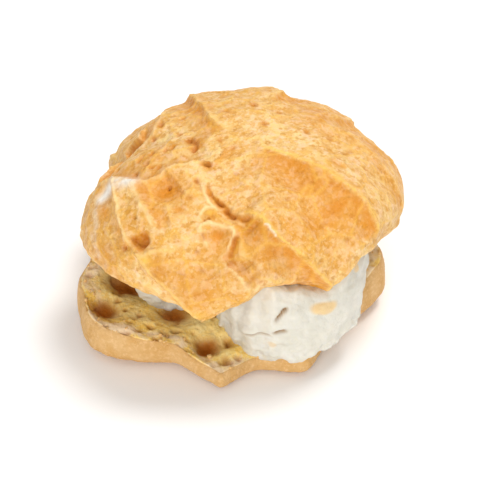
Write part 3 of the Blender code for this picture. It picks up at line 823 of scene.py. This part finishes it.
def crust_material():
    look = Look("baked_crust")
    broad = look.span(look.noise(0.010), 0.35, 0.65)
    patches = look.noise(0.0030, 4.0, 0.55, 1.0)
    mottle = look.noise(0.0016, 2.0, 0.5, 2.0)
    specks = look.noise(0.0015, 2.0, 0.5, 3.0)
    freckles = look.noise(0.0024, 3.0, 0.55, 4.0)
    grain = look.noise(0.0007, 2.0, 0.5, 5.0)
    lively = look.span(look.painted("pale"), 0.0, 1.0, 0.5, 1.0)
    base = look.blend(broad, colour("E2A244"), colour("E5AF5A"))
    base = look.blend(look.painted("pale"), base, colour("EDC076"))
    cream_tone = look.math("MULTIPLY", look.span(patches, 0.47, 0.57, 0.0, 0.8), lively)
    base = look.blend(cream_tone, base, colour("F7D893"))
    pink_tone = look.math("MULTIPLY", look.span(mottle, 0.49, 0.58, 0.0, 0.8), lively)
    base = look.blend(pink_tone, base, colour("F9D1A4"))
    base = look.blend(look.span(freckles, 0.53, 0.61, 0.0, 0.6), base, colour("E5A63C"))
    base = look.blend(look.span(specks, 0.54, 0.63, 0.0, 0.7), base, colour("D3922E"))
    base = look.blend(look.span(grain, 0.55, 0.65, 0.0, 0.4), base, colour("FFE0A8"))
    # Toasted orange with painted shade: on the low sides of edges, around cracks and pits, and in the toasted spots.
    toast_and_shade = look.math("MULTIPLY", look.painted("toast_and_shade"), look.span(mottle, 0.40, 0.62, 1.0, 0.75))
    base = look.blend(toast_and_shade, base, colour("D8870E"))
    # Painted highlight on crests, golden.
    base = look.blend(look.painted("golden_crest_highlight"), base, colour("FCC755"))
    # Pale rims of broken crust, and a painted highlight on the crests of the lower edges.
    base = look.blend(look.painted("rim"), base, colour("FFDA9A"))
    # Painted shade in cracks, pits, pores and sunken hollows.
    base = look.blend(look.math("MULTIPLY", look.painted("recess_shade"), 0.85), base, colour("B86B12"))
    # Painted highlight: the glint along the front ridge's crest.
    base = look.blend(look.painted("glint"), base, colour("FFF0D4"))
    dusty = look.math("MULTIPLY", look.painted("dust"), look.span(patches, 0.36, 0.50, 0.35, 1.0))
    base = look.blend(dusty, base, colour("FFFAF0"))
    base = look.blend(look.painted("crumb"), base, colour("D9A558"))
    look.shader.inputs["Specular IOR Level"].default_value = 0.4
    height = look.math("ADD", look.noise(0.0008, 5.0, 0.6), mottle)
    return look.finish(base, look.span(patches, 0.35, 0.65, 0.42, 0.58), height, 0.0005)


def crumb_material():
    look = Look("open_crumb")
    patches = look.span(look.noise(0.004), 0.35, 0.65)
    grain = look.noise(0.0008, 4.0, 0.6, 1.0)
    skin = look.blend(patches, colour("D3A25E"), colour("DFB479"))
    skin = look.blend(look.span(grain, 0.5, 0.65, 0.0, 0.4), skin, colour("F5D0A0"))
    skin = look.blend(look.math("MULTIPLY", look.painted("low"), 0.7), skin, colour("D39A52"))
    inside = look.blend(patches, colour("FFD468"), colour("FFE69E"))
    inside = look.blend(look.span(grain, 0.5, 0.62, 0.0, 0.8), inside, colour("FFE8A4"))
    border = look.math("MULTIPLY", look.painted("border"), look.span(patches, 0.3, 0.7))
    inside = look.blend(look.math("MULTIPLY", border, 0.7), inside, colour("FCE3C8"))
    # Painted shade in the small pores and in the holes.
    inside = look.blend(look.math("MULTIPLY", look.painted("pin"), 0.5), inside, colour("CC8E30"))
    inside = look.blend(look.painted("hole"), inside, colour("A85F0C"))
    base = look.blend(look.painted("crumb"), skin, inside)
    look.shader.inputs["Specular IOR Level"].default_value = 0.25
    return look.finish(base, 0.7, look.noise(0.0007, 5.0, 0.6), 0.0004)


def cream_material():
    look = Look("whipped_cream")
    shade = look.span(look.noise(0.006), 0.35, 0.65)
    base = look.blend(shade, colour("D3CFC1"), colour("DEDACE"))
    base = look.blend(look.painted("stain"), base, colour("E6C58A"))
    # Painted shade inside the slits.
    base = look.blend(look.painted("recess_shade"), base, colour("9C6C1C"))
    look.shader.inputs["Subsurface Weight"].default_value = 0.4
    look.shader.inputs["Subsurface Radius"].default_value = (0.0020, 0.0017, 0.0012)
    look.shader.inputs["Subsurface Scale"].default_value = 1.0
    return look.finish(base, 0.38, look.noise(0.0012, 4.0), 0.0003)


# ---------------------------------------------------------------- putting the pieces in place

PRESS_DEPTH = 0.0006


def cad_shift():
    """From the profiles' own origin to the CAD part's place."""
    azimuth = np.linspace(-180.0, 180.0, 721)
    x, y = on_disc(azimuth, base_radius(azimuth))
    low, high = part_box("choux_base")
    return np.array([low.x + high.x - x.min() - x.max(), low.y + high.y - y.min() - y.max(), 2.0 * low.z]) / 2.0


def fit_in_box(points):
    """Press down what fine relief would stand out of the CAD model's box at its sides and top."""
    floor = cad_box[0][2]
    low = np.array([cad_box[0][0], cad_box[0][1], floor - 1.0])
    for corner, side in ((np.array(cad_box[1]), 1.0), (low, -1.0)):
        inset = (corner - points) * side
        pressed = PRESS_DEPTH * np.exp(np.minimum(inset / PRESS_DEPTH - 1.0, 0.0))
        points = np.where(inset < PRESS_DEPTH, corner - side * pressed, points)
    points[:, 2] = np.maximum(points[:, 2], floor)
    return points


def finish_piece(mesh, name, node, material):
    place(mesh, fit_in_box(read(mesh.vertices, "co") + cad_shift()))
    mesh.name = name
    mesh.shade_smooth()
    mesh.materials.append(material)
    piece = bpy.data.objects.new(name, mesh)
    bpy.context.scene.collection.objects.link(piece)
    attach(piece, "root")
    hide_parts(node)
    return piece


# ---------------------------------------------------------------- stage

CAMERA_ELEVATION = 38.0
CAMERA_DISTANCE = 0.60
CAMERA_LENS = 198.0
CAMERA_TARGET_SHARE = 0.33   # height of the point looked at, as a share of the puff's height


def area_light(name, place_at, target, size, power, tint=(1.0, 1.0, 1.0)):
    data = bpy.data.lights.new(name, "AREA")
    data.shape = "DISK"
    data.size = size
    data.energy = power
    data.color = tint
    light = bpy.data.objects.new(name, data)
    light.location = place_at
    light.rotation_euler = (Vector(target) - Vector(place_at)).to_track_quat("-Z", "Y").to_euler()
    bpy.context.scene.collection.objects.link(light)


def make_stage():
    bpy.ops.mesh.primitive_plane_add(size=4.0, location=(0.0, 0.0, cad_box[0][2]))
    floor = bpy.context.object
    floor.name = "floor"
    look = Look("pale_floor")
    tone = look.span(look.noise(0.3), 0.0, 1.0, 0.0, 0.02)
    floor.data.materials.append(look.finish(look.blend(tone, colour("FFFFFF"), colour("F4F4F2")), 0.8, look.noise(0.05), 0.0001))

    target = Vector((0.0, 0.0, cad_box[1][2] * CAMERA_TARGET_SHARE))
    angle = np.radians(CAMERA_ELEVATION)
    data = bpy.data.cameras.new("camera")
    data.lens = CAMERA_LENS
    data.clip_start = 0.01
    camera = bpy.data.objects.new("camera", data)
    camera.location = target + Vector((0.0, -np.cos(angle), np.sin(angle))) * CAMERA_DISTANCE
    camera.rotation_euler = (np.radians(90.0 - CAMERA_ELEVATION), 0.0, 0.0)
    bpy.context.scene.collection.objects.link(camera)
    bpy.context.scene.camera = camera

    area_light("key", (0.20, 0.16, 0.62), target, 0.30, 2.7, (1.0, 0.98, 0.95))
    area_light("fill", (-0.14, -0.66, 0.28), target, 0.50, 2.6)
    world = bpy.data.worlds.new("studio")
    world.use_nodes = True
    world.node_tree.nodes["Background"].inputs["Color"].default_value = (1.0, 1.0, 1.0, 1.0)
    world.node_tree.nodes["Background"].inputs["Strength"].default_value = 0.54
    bpy.context.scene.world = world
    bpy.context.scene.view_settings.view_transform = "Standard"


make_cap()
make_crumbs(make_base())
make_cream()
make_stage()
